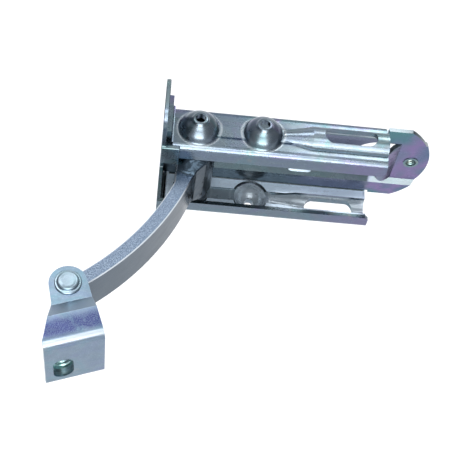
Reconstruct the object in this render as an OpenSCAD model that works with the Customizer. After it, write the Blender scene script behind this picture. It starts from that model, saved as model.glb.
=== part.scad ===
// Door limiter strap: a pressed guide channel with detent domes, a curved arm
// whose hub carries two spring-loaded balls, and a pivoting mounting bracket.
// Millimetres. X runs from the front plate to the tail, Y towards the closed
// back of the channel, Z along the pivot axes. The plate's outer face is X = 0.

/* [Channel] */
// end of the side walls
wall_end = 103; // [90:1:120]
// half height of the channel over its walls
half_h = 26; // [22:0.5:32]
// half width of a side wall
half_w = 11.5; // [9:0.5:15]
// thickness of the channel sheet
sheet = 2; // [1.5:0.25:3]
// free edge of the side lips, from the middle
lip_edge = 17.6; // [15:0.1:22]
// outward step of the middle of the back
back_step = 2; // [0:0.25:3]
// length of the tail beyond the walls
tail_len = 26; // [15:1:40]
// length of the bent tongue
tongue_len = 12.5; // [8:0.5:16]

/* [Detents] */
// first dome from the plate
dome_a = 16.5; // [14:0.5:24]
// second dome from the plate
dome_b = 45.5; // [38:0.5:60]
// radius of a dome's foot
dome_r = 9.8; // [8.5:0.1:10.5]
// radius of a dome's crown
crown_r = 3.7; // [3.4:0.1:5]
// height of a dome over the wall
dome_h = 7.6; // [5:0.1:9]
// raised depth of the ball track
track_d = 0.8; // [0.4:0.1:1.5]
// half width of the ball track
track_w = 4; // [3.5:0.1:5]
// half width of the bead
bead_w = 6.5; // [5:0.1:8]
// height of the bead
bead_h = 5.2; // [3:0.1:7]
// start of the slot in the bead
slot_a = 73.2; // [66:0.1:80]
// end of the slot in the bead
slot_b = 97.5; // [88:0.1:100]

/* [Front plate] */
// half length of the plate
plate_h = 48; // [42:1:60]
// plate thickness
plate_t = 2; // [1.5:0.25:4]
// fixing holes from the middle
fix_z = 38; // [34:0.5:52]
// fixing hole diameter
fix_d = 8.5; // [6:0.1:11]

/* [Arm] */
// half height of the flat bar
arm_h = 11; // [8:0.5:14]
// radius of the bar's centre line
arm_r = 125.8; // [100:0.1:160]
// thickness of the bar
arm_t = 6.4; // [5:0.1:10]
// hub radius
hub_r = 9; // [8:0.1:11]
// hub half height
hub_h = 16.5; // [12:0.1:17.2]
// detent ball radius
ball_r = 6.8; // [5:0.1:8]

/* [Bracket] */
// bracket sheet
bk_t = 2.5; // [2:0.25:4]
// bracket width at its base
bk_w = 25.4; // [20:0.1:34]
// half height over the base
bk_h = 18.7; // [16:0.1:24]
// pivot above the base
bk_piv = 29.4; // [24:0.1:40]
// outer radius of the bracket's bends
bk_r = 4.4; // [3:0.1:6]
// pivot pin diameter
pin_d = 7; // [5:0.1:9]

/* [Hidden] */
$fn = 96;
e = 0.01;
ro = 3;
ri = ro - sheet;
hub = [dome_a, 0];
// rest place of the bracket pivot, behind the hub and out from it
piv_back = 50.5;
piv_out = 78.3;
piv = [dome_a - piv_back, -piv_out];
chord = norm(piv - hub);
chord_dir = (piv - hub) / chord;
arm_c = (hub + piv) / 2 + sqrt(arm_r * arm_r - chord * chord / 4) * [chord_dir[1], -chord_dir[0]];
bk_ang = 19.7;
bk_px = bk_w - 8.6;
hole_in = 7.7;
nut_t = 6;
hole_lo = -8.1;
hole_hi = -0.8;
ball_z = half_h - sheet + track_d - 0.3 - ball_r;
bore_r = 7;
// each seat reaches this far back from its ball's centre, and the spring fills what is between the seats
seat_back = 9.5;
seat_z = ball_z - seat_back;
tail_x = wall_end + tail_len;
// the nut's hole, in from the end of the tail
hole_back = 8.3;
hole_x = tail_x - hole_back;
win_a = 90;
win_b = 113;
win_h = 13.3;

module bar(x0, x1, y0, y1, z0, z1) {
  translate([x0, y0, z0]) cube([x1 - x0, y1 - y0, z1 - z0]);
}

module both() {
  children();
  mirror([0, 0, 1]) children();
}

// quarter tube along X about (y, z), on the side given by the signs
module bend_x(x0, x1, y, z, sy, sz) {
  intersection() {
    translate([x0, y, z]) rotate([0, 90, 0]) difference() {
      cylinder(r = ro, h = x1 - x0);
      translate([0, 0, -1]) cylinder(r = ri, h = x1 - x0 + 2);
    }
    bar(x0 - 1, x1 + 1, sy > 0 ? y : y - ro - 1, sy > 0 ? y + ro + 1 : y, sz > 0 ? z : z - ro - 1, sz > 0 ? z + ro + 1 : z);
  }
}

// flat outline in X and Z, thick along Y
module xz(y0, y1) {
  translate([0, y1, 0]) rotate([90, 0, 0]) linear_extrude(y1 - y0) children();
}

module back_section(x0, x1, zr) {
  y0 = half_w - sheet;
  y1 = half_w;
  s = back_step;
  translate([x0, 0, 0]) rotate([90, 0, 90]) linear_extrude(x1 - x0)
    polygon([[y1, zr], [y1, 17], [y1 + s, 14.5], [y1 + s, -14.5], [y1, -17], [y1, -zr],
      [y0, -zr], [y0, -16.2], [y0 + s, -13.7], [y0 + s, 13.7], [y0, 16.2], [y0, zr]]);
}

module wall_body() {
  x0 = plate_t + ro;
  bar(x0, wall_end, -half_w + ro - e, half_w - ro + e, half_h - sheet, half_h);
  bend_x(x0, wall_end, half_w - ro, half_h - ro, 1, 1);
  bend_x(x0, wall_end, -half_w + ro, half_h - ro, -1, 1);
  bar(x0, wall_end, -half_w, -half_w + sheet, lip_edge, half_h - ro + e);
  // out-turned front flange and its bend
  bar(plate_t, plate_t + sheet, -half_w + 2.5, half_w, half_h + 1 - e, half_h + 7.5);
  intersection() {
    translate([x0, half_w, half_h + ri]) rotate([90, 0, 0]) difference() {
      cylinder(r = ro, h = 2 * half_w - 2.5);
      translate([0, 0, -1]) cylinder(r = ri, h = 2 * half_w);
    }
    bar(plate_t - 1, x0 + e, -half_w, half_w, half_h - sheet - 1, half_h + ri);
  }
}

// half section of a dome: radius, height, and the way its skin thickens inwards
bell = [[dome_r, 0.02, 0.45, 1.01], [dome_r - 0.5, 0.03 * dome_h, 0.45, 0.98], [dome_r - 0.85, 0.1 * dome_h, 0.7, 0.7],
  [dome_r - 1.2, 0.24 * dome_h, 0.93, 0.37], [dome_r - 2, 0.43 * dome_h, 0.8, 0.6], [crown_r + 2.6, 0.65 * dome_h, 0.62, 0.78],
  [crown_r + 1.1, 0.79 * dome_h, 0.5, 0.87], [crown_r + 0.4, 0.84 * dome_h, 0.6, 0.85], [crown_r + 0.1, 0.91 * dome_h, 0.65, 1.15],
  [crown_r - 0.3, 0.98 * dome_h, 0.6, 1.36], [crown_r - 0.9, dome_h, 0.6, 1.44]];

module press_out(g) {
  // g = 0 outer skin, g = sheet inner skin
  top = half_h - g;
  // each dome is a bell with a flared foot and a raised crown
  for (x = [dome_a, dome_b]) translate([x, 0, half_h]) rotate_extrude()
    polygon(concat([[0, g > 0 ? -sheet - 1 : -1], [bell[0][0] - g * bell[0][2], g > 0 ? -sheet - 1 : -1]],
      [for (p = bell) [p[0] - g * p[2], p[1] - g * p[3]]], [[0, g > 0 ? 4.7 : dome_h]]));
  // ball track
  intersection() {
    bar(dome_a, wall_end - (g > 0 ? -1 : 0), -track_w + g * 0.25, track_w - g * 0.25, half_h - sheet - 1, top + track_d);
    bar(dome_a, wall_end + 1, -6, 6, half_h - sheet - (g > 0 ? 1 : -0.2), half_h + 5);
  }
  // bead, narrow at first and then full to the wall's end
  cz = half_h + bead_h - bead_w;
  intersection() {
    union() {
      translate([wall_end - (wall_end - 68) - e, 0, cz]) rotate([0, 90, 0]) cylinder(r = bead_w - g, h = wall_end - 68 + e + (g > 0 ? 1 : 0));
      translate([55, 0, cz]) rotate([0, 90, 0]) cylinder(r1 = 3.4 - g * 0.6, r2 = bead_w - g, h = 13);
    }
    bar(50, wall_end + 2, -10, 10, half_h - sheet - (g > 0 ? 1 : -0.2), half_h + 12);
  }
}

module side_wall() {
  difference() {
    union() {
      wall_body();
      press_out(0);
    }
    press_out(sheet);
    for (x = [dome_a, dome_b]) translate([x, 0, half_h]) cylinder(d = 4.6, h = 12);
    for (x = [slot_a + 4, slot_b - 4]) translate([x, 0, half_h - 4]) cylinder(r = 4, h = 16);
    bar(slot_a + 4, slot_b - 4, -4, 4, half_h - 4, half_h + 12);
    // clipped corner of the lip
    translate([wall_end, -half_w - 1, lip_edge]) rotate([-90, 0, 0]) cylinder(r = 1.6, h = 4, $fn = 4);
  }
}

module tongue() {
  translate([win_b, half_w - sheet / 2 + back_step, 0]) {
    rotate([0, 0, 39]) xz(-sheet / 2, sheet / 2) intersection() {
      translate([-tongue_len, -win_h]) square([tongue_len, 2 * win_h]);
      translate([-tongue_len + 15, 0]) circle(r = 15);
    }
    translate([0, 0, -win_h]) cylinder(d = sheet, h = 2 * win_h);
  }
}

module housing() {
  color("lightsteelblue") {
    both() side_wall();
    difference() {
      union() {
        back_section(plate_t, wall_end + 1, half_h - ro + e);
        intersection() {
          back_section(wall_end, tail_x + 2, half_h - 1);
          xz(0, 20) intersection() {
            translate([wall_end - 5, -half_h]) square([tail_len + 6, 2 * half_h]);
            translate([98.8, 0]) circle(r = tail_x - 98.8);
          }
        }
      }
      // window left by the tongue, and the second window
      xz(0, 20) intersection() {
        translate([win_a, -win_h]) square([win_b - win_a, 2 * win_h]);
        union() {
          translate([win_a + win_h, -win_h]) square([win_b - win_a, 2 * win_h]);
          translate([win_a + win_h, 0]) circle(r = win_h);
        }
      }
      xz(0, 20) {
        translate([60, -9.7]) square([17, 19.4]);
        translate([65, -14.7]) square([7, 29.4]);
        for (x = [65, 72], z = [-9.7, 9.7]) translate([x, z]) circle(r = 5);
      }
      translate([hole_x, 5, 0]) rotate([-90, 0, 0]) cylinder(d = 7.4, h = 20);
      // relief notches where the walls end
      both() bar(wall_end, wall_end + 1.6, 5, 16, half_h - 2.6, half_h);
    }
    tongue();
  }
}

module front_plate() {
  color("silver") {
    difference() {
      rotate([90, 0, 90]) linear_extrude(plate_t) difference() {
        union() {
          translate([-12.5, -plate_h + 9]) square([26, 2 * plate_h - 18]);
          for (s = [-1, 1]) {
            translate([-3.5, s * (plate_h - 9)]) circle(r = 9);
            translate([4.5, s * (plate_h - 9)]) circle(r = 9);
            translate([-3.5, s * (plate_h - 9) - 9]) square([8, 18]);
          }
        }
        translate([-14, -17.4]) square([22, 34.8]);
      }
      both() translate([-1, 0.5, fix_z]) rotate([0, 90, 0]) cylinder(d = fix_d, h = 6);
    }
    // wings bent back over the lips
    both() bar(0, 8.3, -half_w - 2, -half_w, lip_edge - 2.4, half_h + 0.8);
    both() bar(0, plate_t, -half_w - e, -half_w - 1.5, lip_edge, half_h + 0.8);
  }
}

module tail_nut() {
  color("gray") difference() {
    union() {
      translate([hole_x, half_w + back_step, 0]) rotate([-90, 0, 0]) cylinder(d = 11, h = 4, $fn = 6);
      translate([hole_x, half_w + back_step - sheet - 0.3, 0]) rotate([-90, 0, 0]) cylinder(d = 7.3, h = sheet + 1);
    }
    translate([hole_x, 0, 0]) rotate([-90, 0, 0]) cylinder(d = 5, h = 40);
  }
}

// point on the bar's inner (-1) or outer (1) face at an angle about the bar's centre
function bar_at(a, side) = arm_c + (arm_r + side * arm_t / 2) * [cos(a), sin(a)];

module arm_root() {
  // forged root between the bar and the hub
  a = asin((-22.5 - arm_c[1]) / arm_r);
  linear_extrude(2 * hub_h, center = true) polygon([hub - [9, 0], hub + [-8.6, -10], hub + [-8.8, -14.5], bar_at(a + 0.7, -1),
    bar_at(a, -1), bar_at(a, 1), bar_at(a + 1.5, 1), bar_at(a + 3, 1) + [0.15, 0], bar_at(a + 4.5, 1) + [0.8, 0],
    hub + [4.6, -10.8], hub + [6.4, -7.6], hub + [8, -4], hub + [8.9, 0]]);
}

module arm() {
  color("slategray") difference() {
    union() {
      intersection() {
        translate([arm_c[0], arm_c[1], -arm_h]) difference() {
          cylinder(r = arm_r + arm_t / 2, h = 2 * arm_h, $fn = 360);
          translate([0, 0, -1]) cylinder(r = arm_r - arm_t / 2, h = 2 * arm_h + 2, $fn = 360);
        }
        linear_extrude(60, center = true)
          polygon([arm_c, hub + [5.5, -16], piv + [54, 8.3], piv + [24, -31.7], piv + [3.8, -5.3], piv]);
      }
      intersection() {
        arm_root();
        union() {
          translate([0, -40, -arm_h]) cube([40, 50, 2 * arm_h]);
          both() translate([hub[0], hub[1], arm_h - e]) cylinder(r1 = 15.6, r2 = hub_r, h = hub_h - arm_h + e);
        }
      }
      translate([hub[0], hub[1], -hub_h]) cylinder(r = hub_r, h = 2 * hub_h);
      translate([piv[0], piv[1], -arm_h]) cylinder(r = 6.9, h = 2 * arm_h);
    }
    translate([hub[0], hub[1], -30]) cylinder(r = bore_r, h = 60);
    translate([piv[0], piv[1], -30]) cylinder(d = pin_d + 2.4, h = 60);
  }
}

module pivot_bush() {
  color("darkkhaki") translate([piv[0], piv[1], -arm_h - 0.2]) difference() {
    cylinder(d = pin_d + 2.36, h = 2 * arm_h + 0.4);
    translate([0, 0, -1]) cylinder(d = pin_d + 0.1, h = 2 * arm_h + 3);
  }
}

module ball(s) {
  color("white") translate([hub[0], hub[1], s * ball_z]) sphere(r = ball_r);
}

module near_ball() { ball(1); }

module far_ball() { ball(-1); }

module seat() {
  translate([hub[0], hub[1], 0]) difference() {
    union() {
      translate([0, 0, seat_z]) cylinder(r = bore_r - 0.06, h = 4.6);
      translate([0, 0, seat_z - 2]) cylinder(r = 3.4, h = 2 + e);
    }
    translate([0, 0, ball_z]) sphere(r = ball_r + 0.02);
  }
}

module near_seat() { color("goldenrod") seat(); }

module far_seat() { color("goldenrod") mirror([0, 0, 1]) seat(); }

module detent_spring() {
  w = 2;
  n = 5;
  len = 2 * seat_z - w;
  r = 5.2;
  m = 14;
  k = 12;
  steps = n * m;
  function at(i) = [hub[0] + r * cos(360 * i / m), hub[1] + r * sin(360 * i / m), -len / 2 + len * i / steps];
  color("dimgray") polyhedron(
    points = [for (i = [0:steps], j = [0:k - 1]) let (a = 360 * i / m, q = 360 * j / k)
      at(i) + w / 2 * [cos(q) * cos(a), cos(q) * sin(a), sin(q)]],
    faces = concat([[for (j = [0:k - 1]) j]],
      [for (i = [0:steps - 1], j = [0:k - 1]) [i * k + j, (i + 1) * k + j, (i + 1) * k + (j + 1) % k, i * k + (j + 1) % k]],
      [[for (j = [k - 1:-1:0]) steps * k + j]]));
}

module on_bracket() {
  translate([piv[0], piv[1], 0]) rotate([0, 0, bk_ang]) translate([-bk_px, -bk_piv, 0]) children();
}

module ear_side() {
  a = 13.5;
  b = 20.5;
  zi = arm_h + 0.5;
  intersection() {
    union() {
      rotate([90, 0, 90]) linear_extrude(bk_w)
        polygon([[bk_r, bk_h], [a, bk_h], [b, zi + bk_t], [40, zi + bk_t],
          [40, zi], [b - 0.7, zi], [a - 0.7, bk_h - bk_t], [bk_r, bk_h - bk_t]]);
      intersection() {
        translate([0, bk_r, bk_h - bk_r]) rotate([0, 90, 0]) difference() {
          cylinder(r = bk_r, h = bk_w);
          translate([0, 0, -1]) cylinder(r = bk_r - bk_t, h = bk_w + 2);
        }
        bar(-1, bk_w + 1, -1, bk_r, bk_h - bk_r, bk_h + 1);
      }
    }
    union() {
      linear_extrude(40) polygon([[0, -1], [bk_w, -1], [bk_w - 0.2, 8], [bk_px + 8.1, bk_piv], [bk_px - 8.1, bk_piv],
        [bk_px - 8.8, 22], [7.1, 19.5], [1.4, 6], [0, 3]]);
      translate([bk_px, bk_piv, 0]) cylinder(r = 8.1, h = 40);
    }
  }
}

module bracket() {
  color("steelblue") on_bracket() difference() {
    union() {
      both() ear_side();
      bar(0, bk_w, 0, bk_t, -bk_h + bk_r - e, bk_h - bk_r + e);
    }
    translate([bk_px, bk_piv, -30]) cylinder(d = pin_d, h = 60);
    // long hole in the base
    for (z = [hole_lo, hole_hi]) translate([hole_in, -1, z]) rotate([-90, 0, 0]) cylinder(d = 8.6, h = bk_t + 2);
    bar(hole_in - 4.3, hole_in + 4.3, -1, bk_t + 1, hole_lo, hole_hi);
  }
}

module bracket_nut() {
  color("gray") on_bracket() difference() {
    bar(hole_in - 6.3, hole_in + 6.3, bk_t, bk_t + nut_t, -13, 5);
    translate([hole_in, 0, -5.6]) rotate([-90, 0, 0]) cylinder(d = 8.4, h = 20);
  }
}

module pivot_rivet() {
  z1 = arm_h + 0.5 + bk_t;
  color("lightgray") translate([piv[0], piv[1], 0]) {
    translate([0, 0, -z1 - e]) cylinder(d = pin_d, h = 2 * z1 + 2 * e);
    both() translate([0, 0, z1]) rotate_extrude()
      polygon([[0, 0], [5.8, 0], [5.8, 0.5], [5.4, 0.85], [4.9, 0.9], [4.6, 1.15], [4.4, 1.75], [3.9, 2.05], [3.3, 1.95], [2.6, 1.8],
        [0, 1.75]]);
  }
}

housing();
front_plate();
tail_nut();
arm();
pivot_bush();
near_ball();
far_ball();
near_seat();
far_seat();
detent_spring();
bracket();
bracket_nut();
pivot_rivet();
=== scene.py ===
"""Finishes, threads and edge work for the door limiter strap, with its floor, light and camera."""
import math

import bmesh
import bpy
from mathutils import Matrix, Vector


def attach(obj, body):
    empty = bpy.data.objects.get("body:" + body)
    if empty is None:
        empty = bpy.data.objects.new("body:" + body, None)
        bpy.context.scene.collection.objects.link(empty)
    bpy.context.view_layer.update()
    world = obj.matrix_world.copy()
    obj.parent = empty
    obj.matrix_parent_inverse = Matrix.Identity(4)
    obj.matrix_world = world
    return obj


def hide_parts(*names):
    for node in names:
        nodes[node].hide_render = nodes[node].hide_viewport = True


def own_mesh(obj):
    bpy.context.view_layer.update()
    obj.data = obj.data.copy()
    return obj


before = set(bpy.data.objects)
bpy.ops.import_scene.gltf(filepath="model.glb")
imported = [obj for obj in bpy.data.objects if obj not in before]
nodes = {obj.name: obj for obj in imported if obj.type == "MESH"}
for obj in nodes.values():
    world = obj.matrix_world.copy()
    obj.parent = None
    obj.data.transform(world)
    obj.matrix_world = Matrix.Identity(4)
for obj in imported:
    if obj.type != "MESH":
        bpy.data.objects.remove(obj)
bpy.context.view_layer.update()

# Sizes of the part, in millimetres
MM = 0.001
HUB = 16.5
DOME_MIDDLE, DOME_HALF_GAP = 31.0, 14.5
PIVOT = (-34.0, -78.3)
BRACKET_TURN = math.radians(19.7)
BRACKET_SHEET, BRACKET_DEPTH = 2.5, 29.4
BASE_HOLE_IN, PIVOT_IN, NUT_BORE_LEVEL = 7.7, 16.8, -5.6
NUT_SEAT = (BASE_HOLE_IN - PIVOT_IN, BRACKET_SHEET - BRACKET_DEPTH, NUT_BORE_LEVEL)
TAIL_NUT_FACE = (120.7, 11.3, 0)
SPRING_HALF, SPRING_COIL, SPRING_WIRE, BALL_PRESS = 8.2, 5.2, 1.0, 2.5

# From the bracket's base towards its pivot
BRACKET_UP = (-math.sin(BRACKET_TURN), math.cos(BRACKET_TURN), 0)


# Shader building

class Value:
    """A shader socket that takes part in plain arithmetic."""

    def __init__(self, shading, socket):
        self.shading = shading
        self.socket = socket

    def _math(self, operation, first, second):
        return self.shading.node("Math", {"operation": operation}, {0: first, 1: second})

    def __add__(self, other):
        return self._math("ADD", self, other)

    def __sub__(self, other):
        return self._math("SUBTRACT", self, other)

    def __rsub__(self, other):
        return self._math("SUBTRACT", other, self)

    def __mul__(self, other):
        return self._math("MULTIPLY", self, other)

    def __pow__(self, other):
        return self._math("POWER", self, other)

    def __abs__(self):
        return self._math("ABSOLUTE", self, 0)

    __radd__ = __add__
    __rmul__ = __mul__


class Shading:
    """A tree of shader nodes, which are added one at a time."""

    def __init__(self, tree):
        self.tree = tree

    def node(self, kind, settings=None, sockets=None, out=0):
        made = self.tree.nodes.new("ShaderNode" + kind)
        for name, value in (settings or {}).items():
            if name == "stops":
                ramp = made.color_ramp.elements
                while len(ramp) < len(value):
                    ramp.new(0.5)
                for stop, (at, colour) in zip(ramp, value):
                    stop.position = at
                    stop.color = (*colour, 1)
            elif name == "interpolation":
                made.color_ramp.interpolation = value
            else:
                setattr(made, name, value)
        for name, value in (sockets or {}).items():
            self.plug(made.inputs[name], value)
        return Value(self, made.outputs[out])

    def plug(self, socket, value):
        if isinstance(value, Value):
            self.tree.links.new(value.socket, socket)
        else:
            socket.default_value = value

    def axis(self, vector, which):
        return self.node("SeparateXYZ", None, {0: vector}, out=which)

    def ramp(self, along, *stops, **settings):
        return self.node("ValToRGB", {"stops": stops, **settings}, {0: along})


class Finish(Shading):
    """A material, with the object's own place and facing to draw its patterns from."""

    def __init__(self, name, **fixed):
        self.material = bpy.data.materials.new(name)
        self.material.use_nodes = True
        super().__init__(self.material.node_tree)
        self.shader = self.tree.nodes["Principled BSDF"]
        self.feed(**fixed)
        self.place = self.node("TexCoord", out="Object")
        self.facing = self.node("TexCoord", out="Normal")

    def feed(self, **links):
        for name, value in links.items():
            self.plug(self.shader.inputs[name.replace("_", " ")], value)

    def noise(self, stretch, detail=3.0, rough=0.6, distort=0.0):
        """Noise made finer by stretch, which is one number or one for each axis."""
        if not isinstance(stretch, tuple):
            stretch = (stretch, stretch, stretch)
        place = self.node("Mapping", None, {"Vector": self.place, "Scale": stretch})
        return self.node("TexNoise", None, {"Vector": place, "Scale": 1.0, "Detail": detail,
                                            "Roughness": rough, "Distortion": distort}, out="Fac")

    def blend(self, share, first, second, mode="MIX"):
        return self.node("Mix", {"data_type": "RGBA", "blend_type": mode},
                         {0: share, 6: first, 7: second}, out=2)

    def step(self, value, low, high, unit=1.0):
        """0 below low, 1 above high, smooth between."""
        return self.node("MapRange", {"interpolation_type": "SMOOTHSTEP"},
                         {"Value": value, "From Min": low * unit, "From Max": high * unit})

    def band(self, value, start, full, fade, end, unit=1.0):
        """1 between full and fade, 0 before start and after end."""
        return self.step(value, start, full, unit) * (1 - self.step(value, fade, end, unit))

    def bump(self, height, strength, depth_mm, below=None):
        sockets = {"Height": height, "Strength": strength, "Distance": depth_mm * MM}
        if below is not None:
            sockets["Normal"] = below
        return self.node("Bump", None, sockets)


def shade(*rgb):
    return (*rgb, 1.0)


def zinc(name, grain=(40, 400, 400), tone=(0.22, 0.27, 0.34), rough=0.27, tint=0.7, upright_shade=0.6, grit=0.0):
    """Bright zinc plate with a thin passivation film, which turns violet, teal and straw in patches.
    Upright faces get a painted shade, set by its own argument, most those facing the open front. Grit is
    the peening."""
    f = Finish(name, Metallic=1.0)
    dull_tone = tuple(0.62 * t for t in tone)
    bright_tone = tuple(min(2.0 * t, 1) for t in tone)
    patches = f.noise((48, 75, 60), detail=4.0, distort=1.2)
    tinges = ((0.32, (1.04, 0.84, 1.16)), (0.41, (0.82, 0.92, 1.05)), (0.50, (1.0, 1.05, 1.02)),
              (0.59, (0.68, 1.08, 1.02)), (0.70, (1.22, 1.16, 0.92)))
    film = f.ramp(patches, *(
        (at, tuple(min(t * k, 1) for t, k in zip(tone, tinge))) for at, tinge in tinges))
    clouds = f.noise(220, detail=4.0)
    base = f.blend(tint, shade(*tone), film)
    dulled = f.blend(f.step(clouds, 0.35, 0.75) * 0.3, base, shade(*dull_tone))
    # painted shade: upright faces are darkened, most those that face the open front
    upright = 1 - f.step(abs(f.axis(f.facing, 2)), 0.1, 0.6)
    behind = f.step(f.axis(f.facing, 1), -0.6, -0.2)
    shaded_upright = f.blend(upright * (1 - 0.65 * behind) * upright_shade, dulled, shade(0.05, 0.075, 0.115))
    streaks = f.noise(grain)
    fine = f.noise(1900)
    f.coat = f.blend(f.step(fine, 0.48, 0.75) * grit, shaded_upright, shade(*bright_tone))
    f.feed(Base_Color=f.coat,
           Roughness=rough + 0.16 * (streaks - 0.5) + 0.14 * (clouds - 0.4),
           Normal=f.bump(fine, strength=0.08 + 0.6 * grit, depth_mm=0.06,
                         below=f.bump(streaks, strength=0.12, depth_mm=0.08)))
    return f


def channel_zinc():
    """The channel's zinc. It has a painted shade on the flat faces round the domes, and a painted highlight
    ring at their feet. It has painted light on the inner walls and in the hollows of the pressings, and
    painted shade on the back's slopes and other faces inside. Its film is thickest along the back edges and
    over the tail."""
    f = zinc("channel zinc", tone=(0.235, 0.275, 0.315))
    along, across, level = (f.axis(f.place, k) for k in range(3))
    ahead, up = f.axis(f.facing, 1), f.axis(f.facing, 2)
    drift = f.noise((90, 60, 120), distort=0.5)

    def wandering(place, spread_mm):
        """A place whose border wanders by the spread."""
        return place + spread_mm * MM * (drift - 0.5)

    # painted shade on the flats round the domes, and a painted highlight at the domes' feet
    flat_shade = f.step(abs(up), 0.9, 0.98) * (1 - f.step(wandering(along, 8), 50, 70, MM))
    coat = f.blend(0.55 * flat_shade, f.coat, shade(0.06, 0.085, 0.10))
    from_dome = abs(along - DOME_MIDDLE * MM) - DOME_HALF_GAP * MM
    radius = (from_dome * from_dome + across * across) ** 0.5
    # painted highlight: a light ring at each dome's foot
    foot_highlight = f.band(radius, 9.1, 9.8, 10.1, 10.8, MM)
    coat = f.blend(0.35 * foot_highlight, coat, shade(0.55, 0.60, 0.63))

    # painted light and shade inside the channel: pale inner walls and hollows, dark slopes and other faces
    tail = f.step(wandering(along, 6), 102, 106, MM)
    inside = ((1 - f.step(abs(level), 24.4, 25.0, MM)) * f.step(across, -9, -7, MM)
              * (1 - f.step(ahead, 0.2, 0.5)) * (1 - tail))
    on_wall = f.step(up, 0.85, 0.95)
    # painted shade on the other inside faces, turning violet with the film towards the tail
    shaded_inside = f.blend(f.step(wandering(along, 10), 58, 78, MM),
                   shade(0.10, 0.13, 0.15), shade(0.115, 0.13, 0.19))
    # painted light: the inner walls are pale
    walls = f.blend(on_wall, shaded_inside, shade(0.70, 0.84, 0.98))
    # painted shade, near black, on the back's slopes inside
    inner = f.blend(f.step(up, 0.2, 0.4) * (1 - on_wall), walls, shade(0.015, 0.022, 0.026))
    coat = f.blend(inside * 0.95, coat, inner)
    # painted light in the hollows of the pressings
    hollow = f.step(-40 * up * level, 0.1, 0.3) * f.step(abs(level), 24.6, 25.2, MM) * (1 - tail)
    coat = f.blend(0.8 * hollow, coat, shade(0.50, 0.57, 0.63))

    # the coloured film on the lips, the back edges and the tail
    front_lip = f.step(-1 * across, 10.5, 11.2, MM) * f.step(wandering(along, 20), 68, 95, MM)
    coat = f.blend(0.35 * front_lip, coat, shade(0.17, 0.11, 0.27))
    broad = f.noise((30, 42, 36), detail=2.0, rough=0.5, distort=0.5)
    film = f.ramp(broad, (0.30, (0.05, 0.15, 0.16)), (0.42, (0.09, 0.12, 0.22)), (0.52, (0.19, 0.13, 0.29)),
                  (0.62, (0.06, 0.15, 0.19)), (0.78, (0.05, 0.17, 0.17)))
    back_edge = f.step(wandering(across, 6), 5.5, 11.5, MM) * (1 - inside)
    tail_slope = tail * f.step(abs(up), 0.25, 0.45)
    outer_back = f.step(ahead, 0.5, 0.8)
    filmed = (0.62 * back_edge * (1 - tail) + 0.75 * tail) * (1 - tail_slope) * (1 - 0.7 * outer_back)
    coat = f.blend(filmed, coat, film)
    # Metallic drops on the inner walls and in the hollows, which carry painted light
    f.feed(Base_Color=f.blend(0.8 * tail_slope, coat, shade(0.16, 0.185, 0.195)),
           Metallic=1 - 0.8 * inside * on_wall - 0.6 * hollow)
    return f


def bracket_zinc():
    """The bracket's lighter, peened zinc, with a painted highlight along the bend at its base, painted
    light on its upper slope, and a violet bloom above the bend.
    """
    f = zinc("bracket zinc", grain=(60, 300, 300), tone=(0.22, 0.285, 0.365),
             rough=0.33, tint=0.5, upright_shade=0.36, grit=0.2)
    depth = f.node("VectorMath", {"operation": "DOT_PRODUCT"}, {0: f.place, 1: BRACKET_UP}, out="Value")
    pivot_depth = PIVOT[0] * BRACKET_UP[0] + PIVOT[1] * BRACKET_UP[1]
    above_base = depth - (pivot_depth - BRACKET_DEPTH) * MM
    drift = f.noise(150, detail=4.0, rough=0.65, distort=0.6)
    grain = f.noise(2200, detail=2.0)
    # painted light on the upward-facing slope 13 to 21 mm above the base
    slope_light = f.band(above_base, 13, 14, 20, 21, MM) * f.step(f.axis(f.facing, 2), 0.5, 0.7)
    coat = f.blend(0.5 * slope_light, f.coat, shade(0.55, 0.66, 0.76))
    # painted highlight along the bend at the base
    bend = f.band(above_base, 0.3, 1.2, 2.0, 3.4, MM)
    coat = f.blend(0.5 * bend, coat, shade(0.62, 0.65, 0.67))
    bloom = f.band(above_base, 2.2, 5.5, 9.0, 14.5, MM) * f.step(drift, 0.15, 0.52)
    speckled = 0.6 + 0.4 * f.step(grain, 0.38, 0.6)
    f.feed(Base_Color=f.blend(bloom * speckled, coat, shade(0.052, 0.06, 0.17)))
    return f


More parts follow.
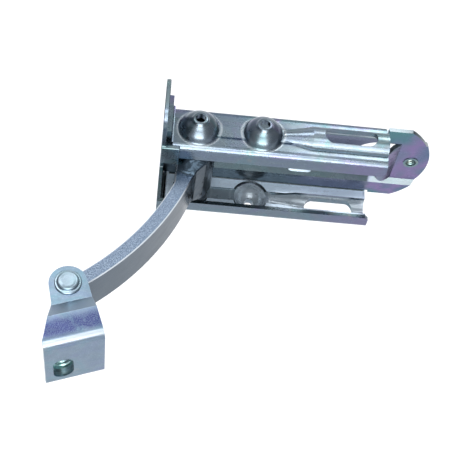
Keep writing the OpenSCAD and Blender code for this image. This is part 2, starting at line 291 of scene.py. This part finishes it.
def bar_stock():
    """Plated flat bar: smooth rolled sides, sheared edges with a fine speckled texture, a painted highlight
    on the rim between them, and a forged root that is rippled by the hammer. Painted shade darkens the
    sides towards the hub, most on the root."""
    f = Finish("arm bar", Metallic=1.0)
    flatness = abs(f.axis(f.facing, 2))
    edge = f.step(flatness, 0.975, 0.995)
    across, along = f.axis(f.place, 1), f.axis(f.place, 0) - HUB * MM
    from_hub = (across * across + along * along) ** 0.5
    forged = 1 - f.step(from_hub, 16, 30, MM)
    rim = f.band(flatness, 0.64, 0.68, 0.73, 0.77) * (1 - forged)

    patches = f.noise(70, rough=0.5, distort=0.6)
    side = f.ramp(patches, (0.3, (0.060, 0.091, 0.122)), (0.5, (0.071, 0.104, 0.138)),
                  (0.7, (0.085, 0.119, 0.15)))
    # painted shade: the sides darken towards the hub
    side = f.blend(1 - f.step(from_hub, 35, 115, MM), side, shade(0.48, 0.56, 0.62), "MULTIPLY")
    # painted shade, darker still on the forged root
    side = f.blend(0.6 * forged, side, shade(0.045, 0.06, 0.075))
    # painted highlight along the rim, which is also made less metallic
    rim_highlighted = f.blend(rim, side, shade(0.80, 0.86, 0.92))
    speckle = f.noise(1900, rough=0.65)
    sheared = f.ramp(speckle, (0.36, (0.11, 0.15, 0.21)), (0.52, (0.185, 0.24, 0.32)),
                     (0.70, (0.39, 0.46, 0.55)))

    smooth = f.noise((90, 90, 500))
    ripple = f.noise(130, detail=2.0, rough=0.5, distort=1.0) * forged
    texture = speckle * (0.3 + edge) * (1 - forged) + smooth * 0.15
    rolled = (1 - edge) * (1 - rim) * (1 - forged)
    f.feed(Base_Color=f.blend(edge, rim_highlighted, sheared),
           Roughness=0.32 + 0.08 * edge - 0.1 * rim - 0.14 * forged + 0.14 * (smooth - 0.5),
           Metallic=1 - 0.65 * rim - 0.4 * rolled,
           Normal=f.bump(texture, strength=0.5, depth_mm=0.12,
                         below=f.bump(ripple, strength=0.4, depth_mm=1.0)))
    return f


def ball_steel():
    f = Finish("ball steel", Metallic=1.0)
    faint = f.noise(260, rough=0.5)
    f.feed(Base_Color=f.blend(faint, shade(0.80, 0.83, 0.86), shade(0.88, 0.90, 0.92)),
           Roughness=0.06 + 0.08 * f.step(faint, 0.4, 0.8))
    return f


def bush_bronze():
    f = Finish("bush bronze", Metallic=1.0)
    pores = f.noise(1800, detail=2.0)
    f.feed(Base_Color=f.blend(pores, shade(0.55, 0.43, 0.22), shade(0.74, 0.62, 0.36)),
           Roughness=0.38 + 0.2 * pores, Normal=f.bump(pores, strength=0.2, depth_mm=0.05))
    return f


def spring_wire():
    f = Finish("spring wire", Metallic=1.0)
    oil = f.noise(400, rough=0.5)
    f.feed(Base_Color=f.blend(oil, shade(0.26, 0.27, 0.29), shade(0.42, 0.43, 0.44)),
           Roughness=0.25 + 0.2 * oil)
    return f


def seat_acetal():
    f = Finish("seat acetal", Roughness=0.42)
    mottled = f.noise(500, rough=0.5)
    f.feed(Base_Color=f.blend(mottled, shade(0.78, 0.74, 0.62), shade(0.86, 0.83, 0.73)),
           Normal=f.bump(mottled, strength=0.08, depth_mm=0.05))
    return f


EVEN_GRAIN = (300, 300, 300)
FINISHES = {
    "housing": channel_zinc(),
    "front_plate": zinc("plate zinc", grain=(400, 60, 60), tone=(0.20, 0.25, 0.27)),
    "tail_nut": zinc("nut zinc", grain=EVEN_GRAIN, tone=(0.30, 0.36, 0.38), rough=0.3),
    "bracket": bracket_zinc(),
    "bracket_nut": zinc("nut plate zinc", grain=EVEN_GRAIN, tone=(0.36, 0.50, 0.50), rough=0.3),
    "pivot_rivet": zinc("rivet zinc", grain=EVEN_GRAIN, tone=(0.34, 0.43, 0.50),
                        rough=0.33, tint=0.3, upright_shade=0.3, grit=0.2),
    "arm": bar_stock(),
    "near_ball": ball_steel(),
    "pivot_bush": bush_bronze(),
    "detent_spring": spring_wire(),
    "near_seat": seat_acetal(),
}
FINISHES["far_ball"] = FINISHES["near_ball"]
FINISHES["far_seat"] = FINISHES["near_seat"]
for name, finish in FINISHES.items():
    mesh = nodes[name].data
    mesh.materials.clear()
    mesh.materials.append(finish.material)


# Added work on the pieces

def set_out(name, data):
    """A new object of the scene."""
    made = bpy.data.objects.new(name, data)
    bpy.context.scene.collection.objects.link(made)
    return made


def mesh_object(name, bm, finish):
    mesh = bpy.data.meshes.new(name)
    bm.to_mesh(mesh)
    bm.free()
    mesh.materials.append(finish.material)
    return set_out(name, mesh)


def new_piece(name, bm, body, finish):
    piece = mesh_object(name, bm, finish)
    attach(piece, body)
    return piece


def round_edges(name, body, width, clamp=True):
    """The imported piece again, with its cut edges rounded as tumbling and plating leave them."""
    weld_mm, level_angle, cut_angle = 0.002, math.radians(0.4), math.radians(32)
    flat_angle, curved_angle, large_face = math.radians(2), math.radians(21), 25 * MM * MM
    bm = bmesh.new()
    bm.from_mesh(nodes[name].data)
    bmesh.ops.remove_doubles(bm, verts=bm.verts, dist=weld_mm * MM)
    bmesh.ops.dissolve_limit(bm, angle_limit=level_angle, verts=bm.verts, edges=bm.edges)
    cut = [edge for edge in bm.edges if len(edge.link_faces) == 2 and edge.calc_face_angle() > cut_angle]
    bmesh.ops.bevel(bm, geom=cut, offset=width * MM, offset_type="OFFSET", affect="EDGES", segments=1,
                    profile=0.5, clamp_overlap=clamp, material=-1)
    for face in bm.faces:
        face.smooth = True
    for edge in bm.edges:
        turn = edge.calc_face_angle(0)
        widest = max(face.calc_area() for face in edge.link_faces)
        edge.smooth = turn < flat_angle or (turn < curved_angle and widest < large_face)
    bmesh.ops.triangulate(bm, faces=bm.faces)
    piece = new_piece(name + "_rounded", bm, body, FINISHES[name])
    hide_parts(name)


def screw(bm, turns, steps, rise):
    """The section in bm turned about Z, rising by rise over all its turns."""
    bmesh.ops.spin(bm, geom=bm.faces[:] + bm.edges[:] + bm.verts[:], cent=(0, 0, 0), axis=(0, 0, 1),
                   dvec=(0, 0, rise / steps), angle=math.tau * turns, steps=steps,
                   use_merge=False, use_duplicate=False)


def cut_thread(name, body, finish, bore, pitch, start, axis, length):
    """The helical ridge of a thread: a small tooth screwed along the bore, from start towards axis."""
    root, crest = bore + 0.06, bore - 0.36 * pitch
    half_root, half_crest = 0.42 * pitch, 0.07 * pitch
    steps_a_turn = 28
    bm = bmesh.new()
    bm.faces.new([bm.verts.new((x, 0, z)) for x, z in (
        (root, -half_root), (crest, -half_crest), (crest, half_crest), (root, half_root))])
    turns = (length - 0.84 * pitch) / pitch
    screw(bm, turns, int(turns * steps_a_turn), turns * pitch)
    bmesh.ops.translate(bm, vec=(0, 0, half_root), verts=bm.verts)
    bmesh.ops.recalc_face_normals(bm, faces=bm.faces)
    turn = Vector(axis).to_track_quat("Z", "Y").to_matrix().to_4x4()
    bmesh.ops.transform(bm, matrix=Matrix.Scale(MM, 4) @ Matrix.Translation(start) @ turn, verts=bm.verts)
    new_piece(name, bm, body, finish)


def coil_half(name, side):
    """The detent spring from its middle to one seat."""
    turns, steps, end_angle = 2.5, 90, math.radians(50)
    bm = bmesh.new()
    bmesh.ops.create_circle(bm, cap_ends=True, radius=SPRING_WIRE, segments=16, matrix=Matrix.Translation(
        (SPRING_COIL, 0, 0)) @ Matrix.Rotation(math.pi / 2, 4, "X"))
    screw(bm, side * turns, steps, side * (SPRING_HALF - SPRING_WIRE))
    bmesh.ops.recalc_face_normals(bm, faces=bm.faces)
    for face in bm.faces:
        face.smooth = True
    bmesh.ops.transform(bm, matrix=Matrix.Scale(MM, 4) @ Matrix.Translation((HUB, 0, 0)), verts=bm.verts)
    piece = new_piece(name, bm, "carrier", FINISHES["detent_spring"])
    piece.data.set_sharp_from_angle(angle=end_angle)
    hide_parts("detent_spring")
    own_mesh(piece)


def on_bracket(x, y, z):
    """A point given from the bracket's pivot along its own width and depth, in millimetres."""
    return (PIVOT[0] + x * math.cos(BRACKET_TURN) - y * math.sin(BRACKET_TURN),
            PIVOT[1] + x * math.sin(BRACKET_TURN) + y * math.cos(BRACKET_TURN), z)


round_edges("housing", "channel", width=0.22)
round_edges("front_plate", "channel", width=0.3)
round_edges("arm", "arm", width=0.45, clamp=False)
round_edges("bracket", "bracket", width=0.3)
coil_half("detent_spring_near", side=1)
coil_half("detent_spring_far", side=-1)
cut_thread("tail_nut_thread", "channel", FINISHES["tail_nut"],
           bore=2.5, pitch=1.0, start=TAIL_NUT_FACE, axis=(0, 1, 0), length=6.1)
cut_thread("bracket_nut_thread", "bracket", FINISHES["bracket_nut"],
           bore=4.2, pitch=1.5, start=on_bracket(*NUT_SEAT), axis=BRACKET_UP, length=5.9)


# Floor, light and camera

def make_floor():
    """A pale floor below the object. It glows a little for the camera and in reflections, to stay white."""
    half_width, floor_level, glow_strength = 15.0, -0.32, 0.16
    bm = bmesh.new()
    bmesh.ops.create_grid(bm, x_segments=1, y_segments=1, size=half_width)
    bmesh.ops.translate(bm, vec=(0, 0, floor_level), verts=bm.verts)
    f = Finish("pale floor", Roughness=0.9, Specular_IOR_Level=0.0, Base_Color=shade(0.97, 0.97, 0.97))
    seen = (f.node("LightPath", out="Is Camera Ray") + f.node("LightPath", out="Is Glossy Ray")
            + f.node("LightPath", out="Is Transmission Ray"))
    glow = f.node("Emission", None, {"Color": shade(1, 1, 1), "Strength": seen * glow_strength})
    both = f.node("AddShader", None, {0: Value(f, f.shader.outputs[0]), 1: glow})
    f.plug(f.tree.nodes["Material Output"].inputs["Surface"], both)
    floor = mesh_object("floor", bm, f)


def make_lamp(name, place, target, width, height, watts):
    data = bpy.data.lights.new(name, "AREA")
    data.shape = "RECTANGLE"
    data.size = width
    data.size_y = height
    data.energy = watts
    lamp = set_out(name, data)
    lamp.matrix_world = Matrix.Translation(place) @ (
        Vector(place) - Vector(target)).to_track_quat("Z", "Y").to_matrix().to_4x4()


def make_world():
    """A soft studio that falls darker to both sides, so that round work shows its form."""
    world = bpy.data.worlds.new("soft studio")
    bpy.context.scene.world = world
    world.use_nodes = True
    studio = Shading(world.node_tree)
    aside = abs(studio.axis(studio.node("TexCoord", out="Generated"), "X"))
    light = studio.ramp(aside, (0.1, (0.60, 0.62, 0.65)), (0.85, (0.25, 0.26, 0.29)), interpolation="EASE")
    sky = world.node_tree.nodes["Background"]
    studio.plug(sky.inputs["Color"], light)
    studio.plug(sky.inputs["Strength"], 1.0)


def aim_camera():
    """The camera at the photograph's viewing angle."""
    data = bpy.data.cameras.new("camera")
    data.lens = 84.255
    data.sensor_width = 36
    data.clip_start = 0.01
    place = (-0.00073, -0.30545, 0.42106)
    azimuth, elevation, roll = (math.radians(a) for a in (-8.0, 57.39, -11.75))
    back = Vector((math.sin(azimuth) * math.cos(elevation),
                   -math.cos(azimuth) * math.cos(elevation), math.sin(elevation)))
    level = Vector((math.cos(azimuth), math.sin(azimuth), 0))
    upright = back.cross(level)
    side = level * math.cos(roll) - upright * math.sin(roll)
    top = level * math.sin(roll) + upright * math.cos(roll)
    camera = set_out("camera", data)
    camera.matrix_world = Matrix.Translation(place) @ Matrix((side, top, back)).transposed().to_4x4()
    bpy.context.scene.camera = camera


DOMES_PLACE = (0.03, 0, 0)
LAMPS = (
    # name, place, target, width, height, watts
    ("front panel", (0.0, -1.1, 0.6), DOMES_PLACE, 1.0, 0.8, 8),
    ("low front strip", (0.0, -1.35, 0.42), DOMES_PLACE, 1.2, 0.14, 4),
    ("upper front panel", (0.0, -0.55, 1.15), DOMES_PLACE, 0.7, 0.4, 4),
    ("rear right panel", (0.55, 0.95, 1.25), DOMES_PLACE, 0.6, 0.6, 6),
    ("overhead panel", (0.0, 0.05, 1.3), DOMES_PLACE, 0.6, 0.35, 0.9),
    ("rear low panel", (0.0, 1.3, 0.55), DOMES_PLACE, 1.3, 0.5, 1.1),
    ("rear left panel", (-0.35, 0.5, 1.25), (0, 0, 0), 0.3, 0.4, 2.5),
)
make_floor()
make_world()
for lamp in LAMPS:
    make_lamp(*lamp)
aim_camera()
bpy.context.scene.view_settings.view_transform = "Standard"
